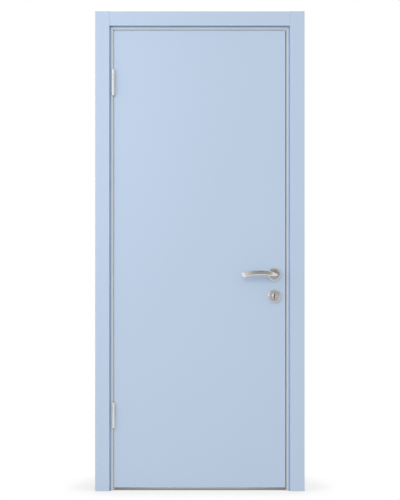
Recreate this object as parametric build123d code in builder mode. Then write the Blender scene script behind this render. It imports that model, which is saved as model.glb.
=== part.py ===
from build123d import *
import os
from math import atan2, cos, sin

# A flush interior door hung in its frame. +X runs from the hinge side to the lock side, +Y from the
# side the leaf opens to into the wall, +Z up. The origin is at the foot of the hinge jamb's wall face.

# Leaf: two skins on a frame of stiles and rails
leaf_width = 762
leaf_height = 2032
leaf_thickness = 40
skin_thickness = 3
hinge_stile_width = 38
lock_stile_width = 105
top_rail_height = 60
bottom_rail_height = 90
lock_edge_bevel = 2
leaf_arris = 1
edge_gap = 5
floor_gap = 14

# Jambs, stops, seals and architraves
jamb_thickness = 28
jamb_depth = 100
stop_thickness = 12
stop_depth = 45
stop_gap = 5
stop_arris = 1.5
seal_width = 5
seal_depth = 10
seal_round = 1.5
seal_break = 2
jamb_margin = 10
quirk_width = 5
quirk_depth = 6
architrave_width = 64
architrave_thickness = 12
architrave_arris = 2

# Butt hinges: the leaf half carries the outer knuckles, the frame half the middle one and its bearing
hinge_height = 115
hinge_plate_width = 32
hinge_plate_thickness = 2.5
hinge_plate_corner = 6
knuckle_radius = 6
outer_knuckle = 29
bearing_height = 15
knuckle_joint = 0.4
barrel_proud = 7
pin_radius = 3
pin_tip = 2.5
running_clearance = 0.05
upper_hinge_drop = 230
lower_hinge_rise = 323

# Lever set
backset = 50
spindle_height = 963
spindle_side = 8
spindle_socket = 20
spindle_hole_radius = 9
rose_radius = 28.5
rose_thickness = 9
rose_bevel_width = 4.5
rose_bevel_drop = 2.4
collar_radius = 14
collar_height = 1.5
stem_radius = 8.5
stem_clearance = 0.1
stem_length = 38
stem_foot_gap = 1
lever_rounding = 0.3
lever_tip_trim = 10
lever_tip_facing = (-1, -1.25, -0.4)

# Lock: keyhole, case, faceplate with latch and dead bolt, strike plate
escutcheon_drop = 97.5
keyhole_height = 22
keyhole_head_radius = 3
keyhole_slit_width = 2.6
keyhole_foot_radius = 2.7
bush_width = 17
bush_height = 29
bush_rise = 2
bush_slope = 3
case_height = 160
case_depth = 74
case_thickness = 15
case_drop = 43
case_web = 4
seat_clearance = 0.15
faceplate_width = 22
faceplate_length = 235
faceplate_thickness = 3
latch_width = 12
latch_height = 20
latch_rise = 18
latch_slope = 8
bolt_width = 10
bolt_height = 26
bolt_drop = 45
bolt_length = 28
bolt_proud = 0.5
strike_width = 18
strike_length = 175
strike_thickness = 2
keep_clearance = 1
keep_depth = 14

# Places worked out from the sizes above
wall_front = -jamb_depth / 2
hinge_rebate = jamb_thickness
leaf_left = hinge_rebate + edge_gap
leaf_right = leaf_left + leaf_width
strike_rebate = leaf_right + edge_gap
leaf_front = wall_front
leaf_back = leaf_front + leaf_thickness
leaf_middle = (leaf_front + leaf_back) / 2
leaf_bottom = floor_gap
leaf_top = leaf_bottom + leaf_height
head_soffit = leaf_top + edge_gap
frame_top = head_soffit + jamb_thickness
seal_top = head_soffit + seal_width
architrave_left_edge = hinge_rebate - seal_width - jamb_margin
architrave_right_edge = strike_rebate + seal_width + jamb_margin
architrave_head_edge = head_soffit + seal_width + jamb_margin
architrave_middle = wall_front - architrave_thickness / 2
overall_height = architrave_head_edge + architrave_width
stop_front = leaf_back + stop_gap
hinge_x = hinge_rebate + edge_gap / 2
hinge_y = leaf_front - barrel_proud
hinge_centres = {"lower": leaf_bottom + lower_hinge_rise, "upper": leaf_top - upper_hinge_drop}
spindle_x = leaf_right - backset
escutcheon_height = spindle_height - escutcheon_drop
middle_plane = Plane.XZ.offset(-leaf_middle)
front_plane = Plane.XZ.offset(-leaf_front)
low_corner = (Align.MIN, Align.MIN, Align.MIN)

# The lock edge leans in towards the back, so that it clears the jamb as the leaf swings
bevel_angle = atan2(lock_edge_bevel, leaf_thickness)
lock_edge_plane = Plane(
    origin=(leaf_right - lock_edge_bevel / 2, leaf_middle, spindle_height),
    x_dir=(-sin(bevel_angle), cos(bevel_angle), 0),
    z_dir=(cos(bevel_angle), sin(bevel_angle), 0),
)
latch_place = (0, latch_rise)
bolt_place = (0, -bolt_drop)
case_place = (0, -case_drop)
faceplate_place = (0, (latch_rise - bolt_drop) / 2 - latch_height / 2)


os.makedirs("parts", exist_ok=True)


def save(piece, name):
    """Label a finished piece and write its STEP file."""
    piece.part.label = name
    export_step(piece.part, f"parts/{name}.step")


def lock_edge_at(y):
    """X of the leaning lock edge at a depth through the leaf."""
    return leaf_right - lock_edge_bevel * (y - leaf_front) / leaf_thickness


def hinge_plate_outline(face_x, centre):
    """Outline of a hinge plate on the face it is let into, square in front and rounded at the back."""
    with BuildSketch(Plane.YZ.offset(face_x)) as outline:
        with Locations((wall_front + hinge_plate_width / 2, centre)):
            Rectangle(hinge_plate_width, hinge_height)
        fillet(outline.vertices().group_by(Axis.X)[-1], radius=hinge_plate_corner)
    return outline.sketch


def keyhole_outline(plane, clearance):
    """The keyhole on an upright plane: a round head, a narrow slit and a small round foot."""
    head_centre = escutcheon_height + keyhole_height / 2 - keyhole_head_radius
    foot_centre = escutcheon_height - keyhole_height / 2 + keyhole_foot_radius
    with BuildSketch(plane) as outline:
        with Locations((spindle_x, head_centre)):
            Circle(keyhole_head_radius + clearance)
        with Locations((spindle_x, foot_centre)):
            Circle(keyhole_foot_radius + clearance)
        with Locations((spindle_x, (head_centre + foot_centre) / 2)):
            Rectangle(keyhole_slit_width + 2 * clearance, head_centre - foot_centre)
    return outline.sketch


def spindle_hole():
    """Round clearance hole for the spindle, drawn on the leaf's front face."""
    with BuildSketch(front_plane) as outline:
        with Locations((spindle_x, spindle_height)):
            Circle(spindle_hole_radius)
    return outline.sketch


# Jambs: the side jambs run the full height and the head sits between them. A narrow groove, the
# quirk, runs round their front edge beside the architraves.
seal_runs = [
    (0, hinge_centres["lower"] - hinge_height / 2 - seal_break),
    (hinge_centres["lower"] + hinge_height / 2 + seal_break,
     hinge_centres["upper"] - hinge_height / 2 - seal_break),
    (hinge_centres["upper"] + hinge_height / 2 + seal_break, seal_top),
]

with BuildPart() as hinge_jamb:
    with Locations((0, wall_front, 0)):
        Box(jamb_thickness, jamb_depth, frame_top, align=low_corner)
    for run_bottom, run_top in seal_runs:
        with Locations((hinge_rebate - seal_width, wall_front, run_bottom)):
            Box(seal_width, seal_depth, run_top - run_bottom, align=low_corner, mode=Mode.SUBTRACT)
    for centre in hinge_centres.values():
        extrude(hinge_plate_outline(hinge_rebate, centre), amount=-hinge_plate_thickness,
                mode=Mode.SUBTRACT)
    with Locations((architrave_left_edge, wall_front, 0)):
        Box(quirk_width, quirk_depth, architrave_head_edge, align=low_corner, mode=Mode.SUBTRACT)
    with Locations((architrave_left_edge, wall_front, architrave_head_edge - quirk_width)):
        Box(hinge_rebate - architrave_left_edge, quirk_depth, quirk_width, align=low_corner,
            mode=Mode.SUBTRACT)
save(hinge_jamb, "hinge_jamb")

with BuildPart() as strike_jamb:
    with Locations((strike_rebate, wall_front, 0)):
        Box(jamb_thickness, jamb_depth, frame_top, align=low_corner)
        Box(seal_width, seal_depth, seal_top, align=low_corner, mode=Mode.SUBTRACT)
    with BuildSketch(Plane.YZ.offset(strike_rebate)):
        with Locations((leaf_middle, spindle_height + faceplate_place[1])):
            SlotOverall(strike_length, strike_width, rotation=90)
    extrude(amount=strike_thickness, mode=Mode.SUBTRACT)
    with BuildSketch(Plane.YZ.offset(strike_rebate)):
        with Locations((leaf_middle, spindle_height + latch_rise)):
            Rectangle(latch_width + 2 * keep_clearance, latch_height + 2 * keep_clearance)
        with Locations((leaf_middle, spindle_height - bolt_drop)):
            Rectangle(bolt_width + 2 * keep_clearance, bolt_height + 2 * keep_clearance)
    extrude(amount=keep_depth, mode=Mode.SUBTRACT)
    with Locations((architrave_right_edge - quirk_width, wall_front, 0)):
        Box(quirk_width, quirk_depth, architrave_head_edge, align=low_corner, mode=Mode.SUBTRACT)
    with Locations((strike_rebate, wall_front, architrave_head_edge - quirk_width)):
        Box(architrave_right_edge - strike_rebate, quirk_depth, quirk_width, align=low_corner,
            mode=Mode.SUBTRACT)
save(strike_jamb, "strike_jamb")

with BuildPart() as head_jamb:
    with Locations((hinge_rebate, wall_front, head_soffit)):
        Box(strike_rebate - hinge_rebate, jamb_depth, jamb_thickness, align=low_corner)
        Box(strike_rebate - hinge_rebate, seal_depth, seal_width, align=low_corner, mode=Mode.SUBTRACT)
    with Locations((hinge_rebate, wall_front, architrave_head_edge - quirk_width)):
        Box(strike_rebate - hinge_rebate, quirk_depth, quirk_width, align=low_corner, mode=Mode.SUBTRACT)
save(head_jamb, "head_jamb")

# Door stops: strips planted on the jambs behind the leaf, their front inner arris eased
with BuildPart() as hinge_stop:
    with BuildSketch(Plane.XY) as section:
        with Locations((hinge_rebate + stop_thickness / 2, stop_front + stop_depth / 2)):
            Rectangle(stop_thickness, stop_depth)
        fillet(section.vertices().group_by(Axis.X)[-1], radius=stop_arris)
    extrude(amount=head_soffit - stop_thickness)
save(hinge_stop, "hinge_stop")

with BuildPart() as strike_stop:
    with BuildSketch(Plane.XY) as section:
        with Locations((strike_rebate - stop_thickness / 2, stop_front + stop_depth / 2)):
            Rectangle(stop_thickness, stop_depth)
        fillet(section.vertices().group_by(Axis.X)[0], radius=stop_arris)
    extrude(amount=head_soffit - stop_thickness)
save(strike_stop, "strike_stop")

with BuildPart() as head_stop:
    with BuildSketch(Plane.YZ.offset(hinge_rebate)) as section:
        with Locations((stop_front + stop_depth / 2, head_soffit - stop_thickness / 2)):
            Rectangle(stop_depth, stop_thickness)
        fillet(section.vertices().group_by(Axis.Y)[0], radius=stop_arris)
    extrude(amount=strike_rebate - hinge_rebate)
save(head_stop, "head_stop")

# Seals: soft strips in the front corner of the jambs, cut away behind the hinges
with BuildPart() as hinge_seal:
    for run_bottom, run_top in seal_runs:
        with BuildSketch(Plane.XY.offset(run_bottom)) as section:
            with Locations((hinge_rebate - seal_width / 2, wall_front + seal_depth / 2)):
                Rectangle(seal_width, seal_depth)
            fillet(section.vertices().group_by(Axis.Y)[0], radius=seal_round)
        extrude(amount=run_top - run_bottom)
save(hinge_seal, "hinge_seal")

with BuildPart() as strike_seal:
    with BuildSketch(Plane.XY) as section:
        with Locations((strike_rebate + seal_width / 2, wall_front + seal_depth / 2)):
            Rectangle(seal_width, seal_depth)
        fillet(section.vertices().group_by(Axis.Y)[0], radius=seal_round)
    extrude(amount=seal_top)
save(strike_seal, "strike_seal")

with BuildPart() as head_seal:
    with BuildSketch(Plane.YZ.offset(hinge_rebate)) as section:
        with Locations((wall_front + seal_depth / 2, head_soffit + seal_width / 2)):
            Rectangle(seal_depth, seal_width)
        fillet(section.vertices().group_by(Axis.X)[0], radius=seal_round)
    extrude(amount=strike_rebate - hinge_rebate)
save(head_seal, "head_seal")

# Architraves: flat boards with eased front arrises, the head fitted between the two sides
with BuildPart() as front_architrave_left:
    with BuildSketch(Plane.XY) as section:
        with Locations((architrave_left_edge - architrave_width / 2, architrave_middle)):
            Rectangle(architrave_width, architrave_thickness)
        fillet(section.vertices().group_by(Axis.Y)[0], radius=architrave_arris)
    extrude(amount=overall_height)
save(front_architrave_left, "front_architrave_left")

with BuildPart() as front_architrave_right:
    with BuildSketch(Plane.XY) as section:
        with Locations((architrave_right_edge + architrave_width / 2, architrave_middle)):
            Rectangle(architrave_width, architrave_thickness)
        fillet(section.vertices().group_by(Axis.Y)[0], radius=architrave_arris)
    extrude(amount=overall_height)
save(front_architrave_right, "front_architrave_right")

with BuildPart() as front_architrave_head:
    with BuildSketch(Plane.YZ.offset(architrave_left_edge)) as section:
        with Locations((architrave_middle, architrave_head_edge + architrave_width / 2)):
            Rectangle(architrave_thickness, architrave_width)
        fillet(section.vertices().group_by(Axis.X)[0], radius=architrave_arris)
    extrude(amount=architrave_right_edge - architrave_left_edge)
save(front_architrave_head, "front_architrave_head")

front_architraves = {
    "left": front_architrave_left,
    "right": front_architrave_right,
    "head": front_architrave_head,
}
for side, front_architrave in front_architraves.items():
    with BuildPart() as back_architrave:
        mirror(front_architrave.part, about=Plane.XZ)
    save(back_architrave, f"back_architrave_{side}")

# Leaf skins: thin sheets over the whole leaf, their outer arris eased, cut for the hinge plates, the
# spindle and the key
for side, skin_front, outer in (("front", leaf_front, 0), ("back", leaf_back - skin_thickness, -1)):
    skin_back = skin_front + skin_thickness
    with BuildPart() as skin:
        with BuildSketch(Plane.XY.offset(leaf_bottom)):
            with BuildLine():
                Polyline(
                    (leaf_left, skin_front),
                    (lock_edge_at(skin_front), skin_front),
                    (lock_edge_at(skin_back), skin_back),
                    (leaf_left, skin_back),
                    close=True,
                )
            make_face()
        extrude(amount=leaf_height)
        chamfer(skin.faces().sort_by(Axis.Y)[outer].edges(), length=leaf_arris)
        for centre in hinge_centres.values():
            extrude(hinge_plate_outline(leaf_left, centre), amount=hinge_plate_thickness,
                    mode=Mode.SUBTRACT)
        extrude(spindle_hole(), amount=-leaf_thickness, mode=Mode.SUBTRACT)
        extrude(keyhole_outline(front_plane, seat_clearance), amount=-leaf_thickness, mode=Mode.SUBTRACT)
    save(skin, f"{side}_skin")

# Stiles and rails: the frame between the skins
core_front = leaf_front + skin_thickness
core_back = leaf_back - skin_thickness
core_depth = core_back - core_front
lock_stile_inner = leaf_right - lock_stile_width

with BuildPart() as hinge_stile:
    with Locations((leaf_left, core_front, leaf_bottom)):
        Box(hinge_stile_width, core_depth, leaf_height, align=low_corner)
    for centre in hinge_centres.values():
        extrude(hinge_plate_outline(leaf_left, centre), amount=hinge_plate_thickness, mode=Mode.SUBTRACT)
save(hinge_stile, "hinge_stile")

with BuildPart() as lock_stile:
    with BuildSketch(Plane.XY.offset(leaf_bottom)):
        with BuildLine():
            Polyline(
                (lock_stile_inner, core_front),
                (lock_edge_at(core_front), core_front),
                (lock_edge_at(core_back), core_back),
                (lock_stile_inner, core_back),
                close=True,
            )
        make_face()
    extrude(amount=leaf_height)
    extrude(spindle_hole(), amount=-leaf_thickness, mode=Mode.SUBTRACT)
    extrude(keyhole_outline(front_plane, seat_clearance), amount=-leaf_thickness, mode=Mode.SUBTRACT)
    with BuildSketch(lock_edge_plane):
        with Locations(faceplate_place):
            SlotOverall(faceplate_length + 2 * seat_clearance, faceplate_width + 2 * seat_clearance,
                        rotation=90)
    extrude(amount=-faceplate_thickness, mode=Mode.SUBTRACT)
    with BuildSketch(lock_edge_plane):
        with Locations(case_place):
            Rectangle(case_thickness + 2 * seat_clearance, case_height + 2 * seat_clearance)
    extrude(amount=-faceplate_thickness - case_depth - seat_clearance, mode=Mode.SUBTRACT)
save(lock_stile, "lock_stile")

rails = {
    "top_rail": (leaf_top - top_rail_height, top_rail_height),
    "bottom_rail": (leaf_bottom, bottom_rail_height),
}
for name, (rail_bottom, rail_height) in rails.items():
    with BuildPart() as rail:
        with Locations((leaf_left + hinge_stile_width, core_front, rail_bottom)):
            Box(lock_stile_inner - leaf_left - hinge_stile_width, core_depth, rail_height, align=low_corner)
    save(rail, name)


def hinge_half(face_x, inward, centre, knuckles):
    """A plate let into face_x, with a neck and a knuckle for each span of the barrel that it carries."""
    with BuildPart() as half:
        extrude(hinge_plate_outline(face_x, centre), amount=inward * hinge_plate_thickness)
        for bottom, top in knuckles:
            with BuildSketch(Plane.XY.offset(bottom)):
                with Locations((hinge_x, hinge_y)):
                    Circle(knuckle_radius)
                neck_back = wall_front + hinge_plate_width / 2
                with Locations((face_x + inward * hinge_plate_thickness / 2, (hinge_y + neck_back) / 2)):
                    Rectangle(hinge_plate_thickness, neck_back - hinge_y)
                with Locations((hinge_x, hinge_y)):
                    Circle(pin_radius + running_clearance, mode=Mode.SUBTRACT)
            extrude(amount=top - bottom)
    return half


# Hinges, from the foot of the barrel up: leaf knuckle, frame knuckle, bearing, leaf knuckle
for place, centre in hinge_centres.items():
    barrel_bottom = centre - hinge_height / 2
    barrel_top = centre + hinge_height / 2
    frame_knuckle_bottom = barrel_bottom + outer_knuckle
    bearing_top = barrel_top - outer_knuckle
    frame_knuckle_top = bearing_top - bearing_height

    frame_half = hinge_half(
        hinge_rebate, -1, centre,
        [(frame_knuckle_bottom + knuckle_joint, frame_knuckle_top - knuckle_joint)],
    )
    save(frame_half, f"{place}_hinge_frame_plate")

    leaf_half = hinge_half(
        leaf_left, 1, centre,
        [(barrel_bottom, frame_knuckle_bottom), (bearing_top, barrel_top)],
    )
    save(leaf_half, f"{place}_hinge_leaf_plate")

    with BuildPart() as bearing:
        with BuildSketch(Plane.XY.offset(frame_knuckle_top)):
            with Locations((hinge_x, hinge_y)):
                Circle(knuckle_radius)
                Circle(pin_radius + running_clearance, mode=Mode.SUBTRACT)
        extrude(amount=bearing_height - knuckle_joint)
    save(bearing, f"{place}_hinge_bearing")

    with BuildPart() as pin:
        with BuildSketch(Plane.XY.offset(barrel_bottom - pin_tip)):
            with Locations((hinge_x, hinge_y)):
                Circle(pin_radius)
        extrude(amount=hinge_height + pin_tip)
        chamfer(pin.edges().group_by(Axis.Z)[0], length=pin_tip / 3)
    save(pin, f"{place}_hinge_pin")

# Roses: turned discs with a bevelled rim; a collar stands round the lever's stem
rose_axis = Axis((spindle_x, leaf_front, spindle_height), (0, 1, 0))
rose_face = -rose_thickness
collar_face = rose_face - collar_height
stem_bore = stem_radius + stem_clearance
rim_profile = [
    (rose_radius, 0),
    (rose_radius, rose_face + rose_bevel_drop),
    (rose_radius - rose_bevel_width, rose_face),
]
with BuildPart() as front_rosette:
    with BuildSketch(Plane(origin=rose_axis.position, x_dir=(1, 0, 0), z_dir=(0, 0, 1))):
        with BuildLine():
            Polyline(
                (stem_bore, 0),
                *rim_profile,
                (collar_radius, rose_face),
                (collar_radius, collar_face),
                (stem_bore, collar_face),
                close=True,
            )
        make_face()
    revolve(axis=rose_axis)
save(front_rosette, "front_rosette")

with BuildPart() as back_rosette:
    mirror(front_rosette.part, about=middle_plane)
save(back_rosette, "back_rosette")


def bush_outline(stand, slope):
    """Oval of the keyhole's bush at a height off the leaf, drawn in by the slope of its sides."""
    with BuildSketch(front_plane.offset(stand)) as outline:
        with Locations((spindle_x, escutcheon_height)):
            Ellipse(bush_width / 2 - slope, bush_height / 2 - slope / 2)
    return outline.sketch


# Key escutcheons: discs like the roses, with a low oval bush round the keyhole
escutcheon_axis = Axis((spindle_x, leaf_front, escutcheon_height), (0, 1, 0))
with BuildPart() as front_escutcheon:
    with BuildSketch(Plane(origin=escutcheon_axis.position, x_dir=(1, 0, 0), z_dir=(0, 0, 1))):
        with BuildLine():
            Polyline((0, 0), *rim_profile, (0, rose_face), close=True)
        make_face()
    revolve(axis=escutcheon_axis)
    loft([bush_outline(rose_thickness, 0), bush_outline(rose_thickness + bush_rise, bush_slope)])
    extrude(keyhole_outline(front_plane, 0), amount=rose_thickness + bush_rise, mode=Mode.SUBTRACT)
save(front_escutcheon, "front_escutcheon")

with BuildPart() as back_escutcheon:
    mirror(front_escutcheon.part, about=middle_plane)
save(back_escutcheon, "back_escutcheon")

# Lock case: a closed steel box behind the faceplate, with pockets for the bolts and a way through for the
# spindle. The key goes in from either side as far as the works in the middle.
with BuildPart() as lock_case:
    with BuildSketch(lock_edge_plane.offset(-faceplate_thickness)):
        with Locations(case_place):
            Rectangle(case_thickness, case_height)
    extrude(amount=-case_depth)
    with BuildSketch(lock_edge_plane):
        with Locations(latch_place):
            Rectangle(latch_width + 2 * seat_clearance, latch_height + 2 * seat_clearance)
        with Locations(bolt_place):
            Rectangle(bolt_width + 2 * seat_clearance, bolt_height + 2 * seat_clearance)
    extrude(amount=-bolt_length, mode=Mode.SUBTRACT)
    extrude(spindle_hole(), amount=-leaf_thickness, mode=Mode.SUBTRACT)
    for way in (1, -1):
        web_face = middle_plane.offset(way * case_web / 2)
        extrude(keyhole_outline(web_face, 0), amount=way * case_thickness, mode=Mode.SUBTRACT)
save(lock_case, "lock_case")

# Lock faceplate flush in the leaning edge, with the latch and the dead bolt drawn in
with BuildPart() as lock_faceplate:
    with BuildSketch(lock_edge_plane):
        with Locations(faceplate_place):
            SlotOverall(faceplate_length, faceplate_width, rotation=90)
        with Locations(latch_place):
            Rectangle(latch_width + 2 * seat_clearance, latch_height + 2 * seat_clearance,
                      mode=Mode.SUBTRACT)
        with Locations(bolt_place):
            Rectangle(bolt_width + 2 * seat_clearance, bolt_height + 2 * seat_clearance,
                      mode=Mode.SUBTRACT)
    extrude(amount=-faceplate_thickness)
save(lock_faceplate, "lock_faceplate")

with BuildPart() as latch_bolt:
    with BuildSketch(lock_edge_plane.offset(bolt_proud)):
        with Locations(latch_place):
            Rectangle(latch_width, latch_height)
    extrude(amount=-bolt_length - bolt_proud)
    nose_edges = latch_bolt.edges().filter_by(Axis.Z).sort_by(Axis.X)[-2:]
    chamfer(nose_edges.sort_by(Axis.Y)[-1], length=latch_slope)
save(latch_bolt, "latch_bolt")

with BuildPart() as dead_bolt:
    with BuildSketch(lock_edge_plane.offset(bolt_proud)):
        with Locations(bolt_place):
            Rectangle(bolt_width, bolt_height)
    extrude(amount=-bolt_length - bolt_proud)
save(dead_bolt, "dead_bolt")

with BuildPart() as strike_plate:
    with BuildSketch(Plane.YZ.offset(strike_rebate)):
        with Locations((leaf_middle, spindle_height + faceplate_place[1])):
            SlotOverall(strike_length, strike_width, rotation=90)
        with Locations((leaf_middle, spindle_height + latch_rise)):
            Rectangle(latch_width + 2 * keep_clearance, latch_height + 2 * keep_clearance,
                      mode=Mode.SUBTRACT)
        with Locations((leaf_middle, spindle_height - bolt_drop)):
            Rectangle(bolt_width + 2 * keep_clearance, bolt_height + 2 * keep_clearance,
                      mode=Mode.SUBTRACT)
    extrude(amount=strike_thickness)
save(strike_plate, "strike_plate")

# Lever: an arched, flat-fronted blade that runs through the hub to a short tail, on a round stem. Its
# tip is cut square to the drooping blade and slanted towards the front.
# Each section: reach from the spindle, rise above it, stand off the leaf, height, depth.
lever_sections = [
    (-14, -3, 33, 5, 7),
    (2, 1.3, 39.5, 17, 15),
    (20, 4.6, 45, 21, 13),
    (55, 8, 48.5, 20, 10),
    (88, 7.6, 48, 20.2, 9.5),
    (120, 2.4, 44.5, 21.4, 9),
    (149, -5, 39.5, 23.5, 8.5),
]


def lever_outline(reach, rise, stand, height, depth):
    """An upright section across the lever, a rectangle with its corners rounded."""
    section_plane = Plane(
        origin=(spindle_x - reach, leaf_front - stand, spindle_height + rise),
        x_dir=(0, 0, 1),
        z_dir=(-1, 0, 0),
    )
    with BuildSketch(section_plane) as outline:
        RectangleRounded(height, depth, radius=lever_rounding * min(height, depth))
    return outline.sketch


tip_reach, tip_rise, tip_stand = lever_sections[-1][:3]
tip_plane = Plane(
    origin=(spindle_x - tip_reach + lever_tip_trim, leaf_front - tip_stand, spindle_height + tip_rise),
    z_dir=lever_tip_facing,
)

with BuildPart() as front_lever:
    loft([lever_outline(*section) for section in lever_sections])
    split(bisect_by=tip_plane, keep=Keep.BOTTOM)
    with BuildSketch(front_plane.offset(stem_foot_gap)):
        with Locations((spindle_x, spindle_height)):
            Circle(stem_radius)
    extrude(amount=stem_length - stem_foot_gap)
    with BuildSketch(front_plane.offset(stem_foot_gap)):
        with Locations((spindle_x, spindle_height)):
            Rectangle(spindle_side + 2 * running_clearance, spindle_side + 2 * running_clearance)
    extrude(amount=spindle_socket, mode=Mode.SUBTRACT)
save(front_lever, "front_lever")

with BuildPart() as back_lever:
    mirror(front_lever.part, about=middle_plane)
save(back_lever, "back_lever")

with BuildPart() as spindle:
    with BuildSketch(front_plane.offset(spindle_socket)):
        with Locations((spindle_x, spindle_height)):
            Rectangle(spindle_side, spindle_side)
    extrude(amount=-leaf_thickness - 2 * spindle_socket)
save(spindle, "spindle")
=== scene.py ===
import math

import bmesh
import bpy
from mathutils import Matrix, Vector


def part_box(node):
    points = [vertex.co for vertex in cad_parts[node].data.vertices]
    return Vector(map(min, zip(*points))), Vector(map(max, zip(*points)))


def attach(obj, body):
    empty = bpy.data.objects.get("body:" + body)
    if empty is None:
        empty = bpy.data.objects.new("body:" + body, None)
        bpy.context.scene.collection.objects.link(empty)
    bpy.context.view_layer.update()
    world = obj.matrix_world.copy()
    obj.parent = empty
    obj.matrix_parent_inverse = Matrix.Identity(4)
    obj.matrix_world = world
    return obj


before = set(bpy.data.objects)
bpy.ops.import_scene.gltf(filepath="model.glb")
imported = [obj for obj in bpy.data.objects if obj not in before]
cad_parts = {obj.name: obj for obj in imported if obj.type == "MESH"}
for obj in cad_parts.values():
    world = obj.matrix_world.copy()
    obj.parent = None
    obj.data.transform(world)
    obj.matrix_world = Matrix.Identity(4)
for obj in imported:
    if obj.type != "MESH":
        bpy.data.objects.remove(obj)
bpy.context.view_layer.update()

# The jambs and the head line the wall opening. They are planed softwood, rebated together at
# the top corners, and painted with a brush along their length.

MM = 0.001
PAINT_BLUE = (0.501, 0.610, 0.766)
PAINT_DEEPER_BLUE = (0.487, 0.597, 0.754)
PAINT_DRIFT_SCALE = 2.6
PAINT_ROUGHNESS = (0.40, 0.50)
PAINT_RELIEF = 0.5
BRUSH_MARK_WIDTH = 2.2 * MM
BRUSH_MARK_LENGTH = 160 * MM
BRUSH_MARK_HEIGHT = 0.03 * MM
UPRIGHT = (BRUSH_MARK_WIDTH, BRUSH_MARK_WIDTH, BRUSH_MARK_LENGTH)
LEVEL = (BRUSH_MARK_LENGTH, BRUSH_MARK_WIDTH, BRUSH_MARK_WIDTH)
NOISE_LOW = 0.3
NOISE_HIGH = 0.7


def add_node(tree, kind, inputs, **settings):
    """Adds a node; an input's value is a number, a colour or the output that feeds it."""
    node = tree.nodes.new(kind)
    for name, value in settings.items():
        setattr(node, name, value)
    for name, value in inputs.items():
        if isinstance(value, bpy.types.NodeSocket):
            tree.links.new(value, node.inputs[name])
        else:
            node.inputs[name].default_value = value
    return node


def new_finish(name):
    """An empty material with its shader, ready for the nodes of one finish."""
    material = bpy.data.materials.new(name)
    material.use_nodes = True
    return material, material.node_tree, material.node_tree.nodes["Principled BSDF"]


def marks(tree, size, detail=3.0):
    """Noise whose marks have the given size along each axis of the part, in metres."""
    place = tree.nodes.new("ShaderNodeTexCoord").outputs["Object"]
    stretch = tuple(1 / length for length in size)
    spread = add_node(tree, "ShaderNodeMapping", {"Vector": place, "Scale": stretch})
    settled = {"Vector": spread.outputs["Vector"], "Scale": 1.0, "Detail": detail}
    return add_node(tree, "ShaderNodeTexNoise", settled).outputs["Fac"]


def vary(tree, driver, low, high):
    """A number that runs from low to high as the noise does."""
    span = {"Value": driver, "From Min": NOISE_LOW, "From Max": NOISE_HIGH, "To Min": low, "To Max": high}
    return add_node(tree, "ShaderNodeMapRange", span).outputs["Result"]


def drifting_colour(tree, driver, first, second):
    """A colour that drifts from the first to the second as the noise does."""
    tone = add_node(tree, "ShaderNodeMix", {"Factor": driver}, data_type="RGBA")
    tone.inputs["A"].default_value = (*first, 1)
    tone.inputs["B"].default_value = (*second, 1)
    return tone.outputs["Result"]


def relief(tree, driver, strength, height):
    """The shallow relief that the marks of the noise leave on a surface."""
    depth = {"Height": driver, "Strength": strength, "Distance": height}
    return add_node(tree, "ShaderNodeBump", depth).outputs["Normal"]


def blue_paint(name, mark_size, mark_height):
    """Satin paint: one blue that drifts a little, with the marks of the brush or the roller."""
    material, tree, shader = new_finish(name)
    drift = marks(tree, (1 / PAINT_DRIFT_SCALE,) * 3)
    stroke = marks(tree, mark_size)
    tone = drifting_colour(tree, drift, PAINT_BLUE, PAINT_DEEPER_BLUE)
    tree.links.new(tone, shader.inputs["Base Color"])
    tree.links.new(vary(tree, stroke, *PAINT_ROUGHNESS), shader.inputs["Roughness"])
    tree.links.new(relief(tree, stroke, PAINT_RELIEF, mark_height), shader.inputs["Normal"])
    return material


def finish_nodes(material, *names):
    """Gives the named pieces of the frame one finish."""
    for name in names:
        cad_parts[name].data.materials.clear()
        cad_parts[name].data.materials.append(material)


paint_upright = blue_paint("blue paint brushed upright", UPRIGHT, BRUSH_MARK_HEIGHT)
paint_level = blue_paint("blue paint brushed level", LEVEL, BRUSH_MARK_HEIGHT)
finish_nodes(paint_upright, "hinge_jamb", "strike_jamb")
finish_nodes(paint_level, "head_jamb")

# The stops are planed strips pinned to the jambs and the head behind the leaf. The leaf closes
# against them, and they are painted with the lining.

finish_nodes(paint_upright, "hinge_stop", "strike_stop")
finish_nodes(paint_level, "head_stop")

# The seals are soft grey extruded strips, pressed into the front arris of the jambs and the
# head. A thin lip on them closes the gap to the leaf, and stops short where the leaf sweeps past.

SEAL_GREY = (0.70, 0.72, 0.745)
SEAL_DARKER_GREY = (0.64, 0.66, 0.685)
SEAL_GRAIN = 0.8 * MM
SEAL_GRAIN_HEIGHT = 0.05 * MM
SEAL_RELIEF = 0.5
SEAL_ROUGHNESS = (0.62, 0.78)
LIP_SETBACK = 7.0 * MM
LIP_CURL = 1.5 * MM
LIP_ROOT = 1.2 * MM
LIP_TIP = 0.6 * MM
LIP_STEPS = 6
LIP_CLEARANCE = 0.5 * MM
LIP_REACH_AT_LOCK = 1.6 * MM
LIP_HINGE_CUT = 2.0 * MM


def soft_seal():
    """Extruded rubber: dull, with a fine matt grain."""
    material, tree, shader = new_finish("grey seal rubber")
    grain = marks(tree, (SEAL_GRAIN,) * 3)
    tone = drifting_colour(tree, grain, SEAL_GREY, SEAL_DARKER_GREY)
    tree.links.new(tone, shader.inputs["Base Color"])
    tree.links.new(vary(tree, grain, *SEAL_ROUGHNESS), shader.inputs["Roughness"])
    tree.links.new(relief(tree, grain, SEAL_RELIEF, SEAL_GRAIN_HEIGHT), shader.inputs["Normal"])
    return material


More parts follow.
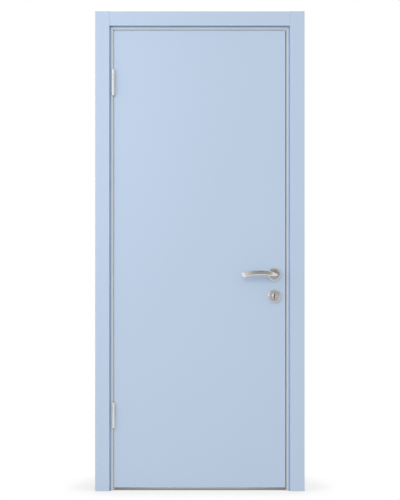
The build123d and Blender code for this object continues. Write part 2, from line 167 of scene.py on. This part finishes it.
def lip_outline(reach):
    """The lip's section: how far its points lie across the gap and behind the leaf's face."""
    front = []
    back = []
    for step in range(LIP_STEPS + 1):
        along = step / LIP_STEPS
        depth = LIP_SETBACK + LIP_CURL * along**2
        thickness = LIP_ROOT + (LIP_TIP - LIP_ROOT) * along
        front.append((reach * along, depth))
        back.append((reach * along, depth + thickness))
    return front + back[::-1]


def extrude_lip(shape, root, across, run):
    """Adds a straight run of lip from its root, with its tip across the gap."""
    sideways = across.normalized()
    inwards = Vector((0, 1, 0))
    outline = lip_outline(across.length)
    first = [shape.verts.new(root + sideways * out + inwards * depth) for out, depth in outline]
    last = [shape.verts.new(vert.co + run) for vert in first]
    shape.faces.new(first)
    shape.faces.new(last[::-1])
    for place in range(len(first)):
        shape.faces.new((first[place - 1], last[place - 1], last[place], first[place]))


seal_rubber = soft_seal()
finish_nodes(seal_rubber, "hinge_seal", "strike_seal", "head_seal")

leaf_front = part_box("front_skin")[0].y
leaf_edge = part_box("hinge_stile")[0].x
leaf_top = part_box("front_skin")[1].z
seal_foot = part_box("hinge_seal")[0].z
seal_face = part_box("hinge_seal")[1].x
head_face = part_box("head_seal")[0].z
side_gap = Vector((leaf_edge - LIP_CLEARANCE - seal_face, 0, 0))
head_gap = Vector((0, 0, leaf_top + LIP_CLEARANCE - head_face))
cuts = [seal_foot]
for level in ("lower", "upper"):
    plate_low, plate_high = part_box(f"{level}_hinge_leaf_plate")
    cuts += [plate_low.z - LIP_HINGE_CUT, plate_high.z + LIP_HINGE_CUT]
lip_top = head_face + head_gap.z
cuts.append(lip_top)
lip_shape = bmesh.new()
for low, high in zip(cuts[::2], cuts[1::2]):
    extrude_lip(lip_shape, Vector((seal_face, leaf_front, low)), side_gap, Vector((0, 0, high - low)))
lock_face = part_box("strike_seal")[0].x
lock_gap = Vector((-LIP_REACH_AT_LOCK, 0, 0))
lock_run = Vector((0, 0, lip_top - seal_foot))
extrude_lip(lip_shape, Vector((lock_face, leaf_front, seal_foot)), lock_gap, lock_run)
head_run = Vector((lock_face - seal_face, 0, 0))
extrude_lip(lip_shape, Vector((seal_face, leaf_front, head_face)), head_gap, head_run)
bmesh.ops.recalc_face_normals(lip_shape, faces=lip_shape.faces)
lip_mesh = bpy.data.meshes.new("seal_lip")
lip_shape.to_mesh(lip_mesh)
lip_shape.free()
lip_mesh.materials.append(seal_rubber)
seal_lip = bpy.data.objects.new("seal_lip", lip_mesh)
bpy.context.scene.collection.objects.link(seal_lip)
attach(seal_lip, "frame")

# The architraves are flat boards that cover the joint between lining and wall on both sides.
# The upright ones run to the top, and the head one is butted between them.

for side in ("front", "back"):
    finish_nodes(paint_upright, f"{side}_architrave_left", f"{side}_architrave_right")
    finish_nodes(paint_level, f"{side}_architrave_head")

# The leaf is a timber frame of stiles and rails with a smooth board skin on each face. It is
# painted all over with a roller, which leaves a fine even stipple.

ROLLER_STIPPLE = 1.6 * MM
ROLLER_STIPPLE_HEIGHT = 0.035 * MM

paint_rolled = blue_paint("blue paint rolled", (ROLLER_STIPPLE,) * 3, ROLLER_STIPPLE_HEIGHT)
finish_nodes(paint_rolled, "front_skin", "back_skin")
finish_nodes(paint_rolled, "hinge_stile", "lock_stile", "top_rail", "bottom_rail")

# The two butt hinges are pressed and rolled steel, nickel plated and lightly brushed along the
# barrel. Each half is let in flush and held by four countersunk cross-head screws.

HINGE_STEEL = (0.68, 0.675, 0.665)
HINGE_BRUSHING = (0.35 * MM, 0.35 * MM, 14 * MM)
HINGE_BRUSHING_HEIGHT = 0.006 * MM
HINGE_ROUGHNESS = (0.42, 0.52)
BRUSHING_DETAIL = 2.0
BRUSHING_RELIEF = 0.6
HINGE_SCREWS = 4
HINGE_SCREW_RADIUS = 4.1 * MM
HINGE_SCREW_RISE = 0.35 * MM
HINGE_SCREW_SPACING = 25.5 * MM
HINGE_SCREW_STAGGER = 6.5 * MM
HINGE_PLATE_WIDTH = 32 * MM
SCREW_SIDES = 32
SCREW_TOP_SHARE = 0.86
SCREW_CROSS_LENGTH = 1.15
SCREW_CROSS_WIDTH = 0.26
SCREW_CROSS_DEPTH = 1.5
SCREW_TURN_SEED = 7


def plated_metal(name, colour, brushing, brushing_height, roughness):
    """Plated metal with brushing lines of the given size along each axis of the part."""
    material, tree, shader = new_finish(name)
    lines = marks(tree, brushing, detail=BRUSHING_DETAIL)
    shader.inputs["Base Color"].default_value = (*colour, 1)
    shader.inputs["Metallic"].default_value = 1.0
    tree.links.new(vary(tree, lines, *roughness), shader.inputs["Roughness"])
    tree.links.new(relief(tree, lines, BRUSHING_RELIEF, brushing_height), shader.inputs["Normal"])
    return material


def screw_tree():
    """A cross-head screw on every point, facing one way and turned as a hand leaves it."""
    tree = bpy.data.node_groups.new("countersunk screws", "GeometryNodeTree")
    sockets = (
        ("Places", "NodeSocketGeometry"),
        ("Head Radius", "NodeSocketFloat"),
        ("Head Rise", "NodeSocketFloat"),
        ("Facing", "NodeSocketVector"),
        ("Turn Seed", "NodeSocketInt"),
        ("Finish", "NodeSocketMaterial"),
    )
    for name, kind in sockets:
        tree.interface.new_socket(name, in_out="INPUT", socket_type=kind)
    tree.interface.new_socket("Screws", in_out="OUTPUT", socket_type="NodeSocketGeometry")
    given = tree.nodes.new("NodeGroupInput").outputs

    def scaled(socket, factor):
        product = add_node(tree, "ShaderNodeMath", {}, operation="MULTIPLY")
        tree.links.new(socket, product.inputs[0])
        product.inputs[1].default_value = factor
        return product.outputs["Value"]

    rim = {
        "Vertices": SCREW_SIDES,
        "Radius Top": scaled(given["Head Radius"], SCREW_TOP_SHARE),
        "Radius Bottom": given["Head Radius"],
        "Depth": given["Head Rise"],
    }
    head = add_node(tree, "GeometryNodeMeshCone", rim)
    recess_length = scaled(given["Head Radius"], SCREW_CROSS_LENGTH)
    recess_width = scaled(given["Head Radius"], SCREW_CROSS_WIDTH)
    recess_depth = scaled(given["Head Rise"], SCREW_CROSS_DEPTH)
    cutters = tree.nodes.new("GeometryNodeJoinGeometry")
    for width, length in ((recess_width, recess_length), (recess_length, recess_width)):
        slot_size = add_node(tree, "ShaderNodeCombineXYZ", {"X": width, "Y": length, "Z": recess_depth})
        slot = add_node(tree, "GeometryNodeMeshCube", {"Size": slot_size.outputs["Vector"]})
        place = add_node(tree, "ShaderNodeCombineXYZ", {"Z": given["Head Rise"]})
        moved = {"Geometry": slot.outputs["Mesh"], "Translation": place.outputs["Vector"]}
        lifted = add_node(tree, "GeometryNodeTransform", moved)
        tree.links.new(lifted.outputs["Geometry"], cutters.inputs["Geometry"])
    cut = add_node(tree, "GeometryNodeMeshBoolean", {}, operation="DIFFERENCE", solver="EXACT")
    cut.inputs["Self Intersection"].default_value = True
    tree.links.new(head.outputs["Mesh"], cut.inputs["Mesh 1"])
    tree.links.new(cutters.outputs["Geometry"], cut.inputs["Mesh 2"])
    aimed = add_node(tree, "FunctionNodeAlignRotationToVector", {"Vector": given["Facing"]}, axis="Z")
    turn = add_node(tree, "FunctionNodeRandomValue", {"Seed": given["Turn Seed"]}, data_type="FLOAT")
    turn.inputs["Max"].default_value = math.pi
    twist = add_node(tree, "ShaderNodeCombineXYZ", {"Z": turn.outputs[1]})
    twisted = add_node(tree, "FunctionNodeEulerToRotation", {"Euler": twist.outputs["Vector"]})
    turned = add_node(tree, "FunctionNodeRotateRotation", {"Rotation": aimed.outputs["Rotation"]})
    turned.rotation_space = "LOCAL"
    tree.links.new(twisted.outputs["Rotation"], turned.inputs["Rotate By"])
    driven = {
        "Points": given["Places"],
        "Instance": cut.outputs["Mesh"],
        "Rotation": turned.outputs["Rotation"],
    }
    placed = add_node(tree, "GeometryNodeInstanceOnPoints", driven)
    real = add_node(tree, "GeometryNodeRealizeInstances", {"Geometry": placed.outputs["Instances"]})
    dressed = {"Geometry": real.outputs["Geometry"], "Material": given["Finish"]}
    coated = add_node(tree, "GeometryNodeSetMaterial", dressed)
    out = tree.nodes.new("NodeGroupOutput")
    tree.links.new(coated.outputs["Geometry"], out.inputs["Screws"])
    return tree


def drive_screws(groups, finish, radius, rise):
    """Meshes of screws, one for each facing, joined later into one piece for a body."""
    meshes = []
    for facing, points in groups:
        places = bpy.data.meshes.new("screw places")
        places.from_pydata(points, [], [])
        carrier = bpy.data.objects.new("screw places", places)
        bpy.context.scene.collection.objects.link(carrier)
        driver = carrier.modifiers.new("screws", "NODES")
        driver.node_group = screws
        values = {
            "Head Radius": radius,
            "Head Rise": rise,
            "Facing": facing,
            "Turn Seed": SCREW_TURN_SEED,
            "Finish": finish,
        }
        for item in screws.interface.items_tree:
            if item.name in values:
                driver[item.identifier] = values[item.name]
        bpy.context.view_layer.update()
        ready = carrier.evaluated_get(bpy.context.evaluated_depsgraph_get())
        meshes.append(bpy.data.meshes.new_from_object(ready))
        carrier.modifiers.remove(driver)
        bpy.data.objects.remove(carrier)
    return meshes


def screw_piece(name, body, meshes):
    """One piece out of the screw meshes of one body."""
    shape = bmesh.new()
    for mesh in meshes:
        shape.from_mesh(mesh)
    joined = bpy.data.meshes.new(name)
    shape.to_mesh(joined)
    shape.free()
    joined.materials.append(meshes[0].materials[0])
    piece = bpy.data.objects.new(name, joined)
    bpy.context.scene.collection.objects.link(piece)
    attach(piece, body)
    return piece


def hinge_screw_places(plate_node, face_x):
    """Staggered places for the screws of a hinge plate that lies in the plane x = face_x."""
    low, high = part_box(plate_node)
    middle_z = (low.z + high.z) / 2
    middle_y = leaf_front + HINGE_PLATE_WIDTH / 2
    places = []
    for row in range(HINGE_SCREWS):
        lean = -HINGE_SCREW_STAGGER if row % 2 else HINGE_SCREW_STAGGER
        height = middle_z + (row - (HINGE_SCREWS - 1) / 2) * HINGE_SCREW_SPACING
        places.append((face_x, middle_y + lean, height))
    return places


hinge_steel = plated_metal(
    "nickel plated hinge steel", HINGE_STEEL, HINGE_BRUSHING, HINGE_BRUSHING_HEIGHT, HINGE_ROUGHNESS
)
for level in ("upper", "lower"):
    finish_nodes(hinge_steel, f"{level}_hinge_frame_plate", f"{level}_hinge_leaf_plate")
    finish_nodes(hinge_steel, f"{level}_hinge_bearing", f"{level}_hinge_pin")

jamb_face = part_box("hinge_jamb")[1].x
screws = screw_tree()
jamb_places = []
leaf_places = []
for level in ("upper", "lower"):
    jamb_places += hinge_screw_places(f"{level}_hinge_frame_plate", jamb_face)
    leaf_places += hinge_screw_places(f"{level}_hinge_leaf_plate", leaf_edge)
jamb_screws = drive_screws([((1, 0, 0), jamb_places)], hinge_steel, HINGE_SCREW_RADIUS, HINGE_SCREW_RISE)
leaf_screws = drive_screws([((-1, 0, 0), leaf_places)], hinge_steel, HINGE_SCREW_RADIUS, HINGE_SCREW_RISE)
screw_piece("hinge_screws_in_jamb", "frame", jamb_screws)
screw_piece("hinge_screws_in_leaf", "leaf", leaf_screws)

# The lock's faceplate is let into the leaf's edge with the latch and the bolt behind it, and the
# strike plate faces it on the jamb. Both are satin nickel on steel, each held by two screws.

SATIN_NICKEL = (0.60, 0.59, 0.573)
EDGE_BRUSHING = (0.3 * MM, 0.3 * MM, 20 * MM)
EDGE_ROUGHNESS = (0.26, 0.38)
NICKEL_BRUSHING_HEIGHT = 0.006 * MM
SAME_WAY = 0.95
LOCK_SCREW_RADIUS = 3.6 * MM
LOCK_SCREW_RISE = 0.3 * MM
LOCK_SCREW_INSET = 11 * MM


def face_of(node, towards):
    """The middle and the direction of a piece's flat face that looks one way."""
    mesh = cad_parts[node].data
    facing = [face for face in mesh.polygons if face.normal.dot(towards) > SAME_WAY]
    area = sum(face.area for face in facing)
    middle = sum((face.center * face.area for face in facing), Vector()) / area
    normal = sum((face.normal * face.area for face in facing), Vector()).normalized()
    return middle, normal


def end_screw_places(node, towards):
    """A place near each end of an upright plate, with the way the plate looks."""
    low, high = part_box(node)
    middle, normal = face_of(node, towards)
    reach = (high.z - low.z) / 2 - LOCK_SCREW_INSET
    centre_z = (high.z + low.z) / 2
    return normal, [(middle.x, middle.y, centre_z - reach), (middle.x, middle.y, centre_z + reach)]


edge_nickel = plated_metal(
    "satin nickel brushed upright", SATIN_NICKEL, EDGE_BRUSHING, NICKEL_BRUSHING_HEIGHT, EDGE_ROUGHNESS
)
finish_nodes(edge_nickel, "lock_faceplate", "latch_bolt", "dead_bolt", "strike_plate")
faceplate_screws = drive_screws(
    [end_screw_places("lock_faceplate", Vector((1, 0, 0)))], edge_nickel, LOCK_SCREW_RADIUS, LOCK_SCREW_RISE
)
strike_screws = drive_screws(
    [end_screw_places("strike_plate", Vector((-1, 0, 0)))], edge_nickel, LOCK_SCREW_RADIUS, LOCK_SCREW_RISE
)
screw_piece("faceplate_screws", "leaf", faceplate_screws)
screw_piece("strike_plate_screws", "frame", strike_screws)

# The keyhole below the handle leads into the lock case, a plain steel box inside the leaf. Its
# round escutcheons are turned and spun satin nickel, with an oval bush round the slit.

SPUN_NICKEL = (0.48, 0.472, 0.458)
SPUN_LINE = 0.35 * MM
SPUN_ROUGHNESS = (0.18, 0.28)
SPUN_STRETCH = 0.8
SPUN_STRETCH_TURN = 0.25


def spun_nickel(name, centre):
    """Satin nickel polished on a lathe: fine rings round the centre of a disc."""
    material, tree, shader = new_finish(name)
    place = tree.nodes.new("ShaderNodeTexCoord").outputs["Object"]
    flat = {"Vector": place, "Location": (-centre.x, 0, -centre.z), "Scale": (1, 0, 1)}
    centred = add_node(tree, "ShaderNodeMapping", flat)
    radius = add_node(tree, "ShaderNodeVectorMath", {}, operation="LENGTH")
    tree.links.new(centred.outputs["Vector"], radius.inputs[0])
    rings = {"W": radius.outputs["Value"], "Scale": 1 / SPUN_LINE, "Detail": BRUSHING_DETAIL}
    lines = add_node(tree, "ShaderNodeTexNoise", rings, noise_dimensions="1D").outputs["Fac"]
    tangent = add_node(tree, "ShaderNodeTangent", {}, direction_type="RADIAL", axis="Y")
    shader.inputs["Base Color"].default_value = (*SPUN_NICKEL, 1)
    shader.inputs["Metallic"].default_value = 1.0
    shader.inputs["Anisotropic"].default_value = SPUN_STRETCH
    shader.inputs["Anisotropic Rotation"].default_value = SPUN_STRETCH_TURN
    tree.links.new(vary(tree, lines, *SPUN_ROUGHNESS), shader.inputs["Roughness"])
    tree.links.new(relief(tree, lines, BRUSHING_RELIEF, NICKEL_BRUSHING_HEIGHT), shader.inputs["Normal"])
    tree.links.new(tangent.outputs["Tangent"], shader.inputs["Tangent"])
    return material


def middle_of(node):
    """The middle of a piece's box."""
    low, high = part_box(node)
    return (low + high) / 2


escutcheon_nickel = spun_nickel("spun nickel escutcheon", middle_of("front_escutcheon"))
finish_nodes(escutcheon_nickel, "front_escutcheon", "back_escutcheon")
finish_nodes(hinge_steel, "lock_case")

# The handles are cast levers in satin nickel on spun round roses. A square steel spindle goes
# through the leaf and joins the two levers, so that they turn together.

LEVER_BRUSHING = (18 * MM, 0.4 * MM, 0.4 * MM)
LEVER_ROUGHNESS = (0.10, 0.16)

rose_nickel = spun_nickel("spun nickel rose", middle_of("front_rosette"))
finish_nodes(rose_nickel, "front_rosette", "back_rosette")
lever_nickel = plated_metal(
    "satin nickel brushed along the lever",
    SATIN_NICKEL,
    LEVER_BRUSHING,
    NICKEL_BRUSHING_HEIGHT,
    LEVER_ROUGHNESS,
)
finish_nodes(lever_nickel, "front_lever", "back_lever")
finish_nodes(hinge_steel, "spindle")

# The room is a white studio: a pale glowing floor with painted shade close to the door, and soft light from
# the upper left, the front, the left side and the back. A darker stretch before the door and one
# behind it give the metal something to mirror.

WHITE = 1.0
FLOOR_REACH = 30.0
PAINTED_SHADE_REACH = 0.20
FLOOR_PAINTED_SHADE = ((0.32, 0.21), (0.46, 0.31), (0.57, 0.85), (0.88, 0.90), (1.0, WHITE))
PAINTED_SHADE_SAMPLES = 16
PAINTED_SHADE_FACING = (0, -0.5, 0.866)
FLOOR_BOUNCE = 0.43
FLOOR_GLEAM = 1.5
ROOM_LIGHT = 0.95
CAMERA_SIDE_LIGHT = 0.03
CAMERA_SIDE = (0.12, -0.99, 0)
DARK_STRETCH_EDGE = 0.86
DARK_STRETCH_MIDDLE = 0.995
KEY_FROM = (-0.25, -1.0, 0.52)
KEY_SPREAD = math.radians(20)
KEY_STRENGTH = 0.58
FILL_FROM = (0.04, -1.0, 0.0)
FILL_SPREAD = math.radians(12)
FILL_STRENGTH = 0.43
BACK_FROM = (0.3, 1.0, 0.45)
BACK_SPREAD = math.radians(25)
BACK_STRENGTH = 0.70
SIDE_PLACE = (-1.6, -0.9, 1.75)
SIDE_TARGET = (0.2, -0.05, 1.35)
SIDE_SIZE = 1.8
SIDE_POWER = 18
PHOTO_HEIGHT = 500
MM_PER_PIXEL = 4.437
SENSOR = 36.0
CAMERA_DISTANCE = 4.5
CAMERA_X = 0.4148
CAMERA_Z = 1.0705


def floor_with_painted_shade():
    """A white glowing floor with painted shade: darker where the door stands near, most under and behind
    it.
    """
    material = bpy.data.materials.new("floor with painted shade")
    material.use_nodes = True
    tree = material.node_tree
    tree.nodes.clear()
    # Painted shade: ambient occlusion, leaned towards the front, darkens the floor's glow near the door.
    facing = add_node(tree, "ShaderNodeCombineXYZ", dict(zip("XYZ", PAINTED_SHADE_FACING)))
    painted_shade_search = {"Distance": PAINTED_SHADE_REACH, "Normal": facing.outputs["Vector"]}
    painted_shade_nearness = add_node(tree, "ShaderNodeAmbientOcclusion", painted_shade_search, samples=PAINTED_SHADE_SAMPLES)
    tone = add_node(tree, "ShaderNodeValToRGB", {"Fac": painted_shade_nearness.outputs["AO"]})
    stops = tone.color_ramp.elements
    stops.remove(stops[1])
    for place, (openness, shade) in enumerate(FLOOR_PAINTED_SHADE):
        stop = stops[0] if place == 0 else stops.new(openness)
        stop.position = openness
        stop.color = (shade, shade, shade, 1)
    ray = tree.nodes.new("ShaderNodeLightPath").outputs
    seen = add_node(tree, "ShaderNodeMath", {}, operation="MULTIPLY_ADD")
    tree.links.new(ray["Is Glossy Ray"], seen.inputs[0])
    seen.inputs[1].default_value = FLOOR_GLEAM
    tree.links.new(ray["Is Camera Ray"], seen.inputs[2])
    reach = {"Value": seen.outputs["Value"], "To Min": FLOOR_BOUNCE, "To Max": WHITE}
    strength = add_node(tree, "ShaderNodeMapRange", reach, clamp=False)
    light = {"Color": tone.outputs["Color"], "Strength": strength.outputs["Result"]}
    glow = add_node(tree, "ShaderNodeEmission", light)
    out = tree.nodes.new("ShaderNodeOutputMaterial")
    tree.links.new(glow.outputs["Emission"], out.inputs["Surface"])
    return material


floor_mesh = bpy.data.meshes.new("floor")
corners = [(x, y, 0) for x, y in ((-1, -1), (1, -1), (1, 1), (-1, 1))]
floor_mesh.from_pydata([Vector(corner) * FLOOR_REACH for corner in corners], [], [(0, 1, 2, 3)])
floor_mesh.materials.append(floor_with_painted_shade())
floor = bpy.data.objects.new("floor", floor_mesh)
bpy.context.scene.collection.objects.link(floor)

world = bpy.data.worlds.new("studio")
bpy.context.scene.world = world
world.use_nodes = True
room = world.node_tree
room.nodes.clear()
direction = room.nodes.new("ShaderNodeTexCoord").outputs["Generated"]
towards_front = add_node(room, "ShaderNodeVectorMath", {}, operation="DOT_PRODUCT")
room.links.new(direction, towards_front.inputs[0])
towards_front.inputs[1].default_value = CAMERA_SIDE
facing_way = {"Value": towards_front.outputs["Value"]}
either_way = add_node(room, "ShaderNodeMath", facing_way, operation="ABSOLUTE")
shade = {
    "Value": either_way.outputs["Value"],
    "From Min": DARK_STRETCH_EDGE,
    "From Max": DARK_STRETCH_MIDDLE,
    "To Min": ROOM_LIGHT,
    "To Max": CAMERA_SIDE_LIGHT,
}
glow = add_node(room, "ShaderNodeMapRange", shade, interpolation_type="SMOOTHSTEP")
lit = add_node(room, "ShaderNodeBackground", {"Strength": glow.outputs["Result"]})
seen = add_node(room, "ShaderNodeBackground", {"Strength": WHITE})
for background in (lit, seen):
    background.inputs["Color"].default_value = (WHITE, WHITE, WHITE, 1)
ray = room.nodes.new("ShaderNodeLightPath")
choice = add_node(room, "ShaderNodeMixShader", {"Fac": ray.outputs["Is Camera Ray"]})
room.links.new(lit.outputs["Background"], choice.inputs[1])
room.links.new(seen.outputs["Background"], choice.inputs[2])
sky = room.nodes.new("ShaderNodeOutputWorld")
room.links.new(choice.outputs["Shader"], sky.inputs["Surface"])


def hang_light(name, kind, place, towards):
    """Hangs a light in a place so that it shines one way."""
    light = bpy.data.lights.new(name, kind)
    lamp = bpy.data.objects.new(name, light)
    lamp.location = place
    lamp.rotation_mode = "QUATERNION"
    lamp.rotation_quaternion = towards.to_track_quat("-Z", "Y")
    bpy.context.scene.collection.objects.link(lamp)
    return lamp


suns = {
    "key": (KEY_FROM, KEY_SPREAD, KEY_STRENGTH),
    "fill": (FILL_FROM, FILL_SPREAD, FILL_STRENGTH),
    "back": (BACK_FROM, BACK_SPREAD, BACK_STRENGTH),
}
for name, (place, spread, strength) in suns.items():
    sun = hang_light(name, "SUN", place, -Vector(place))
    sun.data.angle = spread
    sun.data.energy = strength
    sun.visible_glossy = False
side_light = hang_light("side", "AREA", SIDE_PLACE, Vector(SIDE_TARGET) - Vector(SIDE_PLACE))
side_light.data.size = SIDE_SIZE
side_light.data.energy = SIDE_POWER

camera_data = bpy.data.cameras.new("camera")
camera_data.sensor_width = SENSOR
camera_data.lens = SENSOR * CAMERA_DISTANCE / (PHOTO_HEIGHT * MM_PER_PIXEL * MM)
camera = bpy.data.objects.new("camera", camera_data)
camera.location = (CAMERA_X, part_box("front_architrave_head")[0].y - CAMERA_DISTANCE, CAMERA_Z)
camera.rotation_euler = (math.pi / 2, 0, 0)
bpy.context.scene.collection.objects.link(camera)
bpy.context.scene.camera = camera
bpy.context.scene.view_settings.view_transform = "Standard"
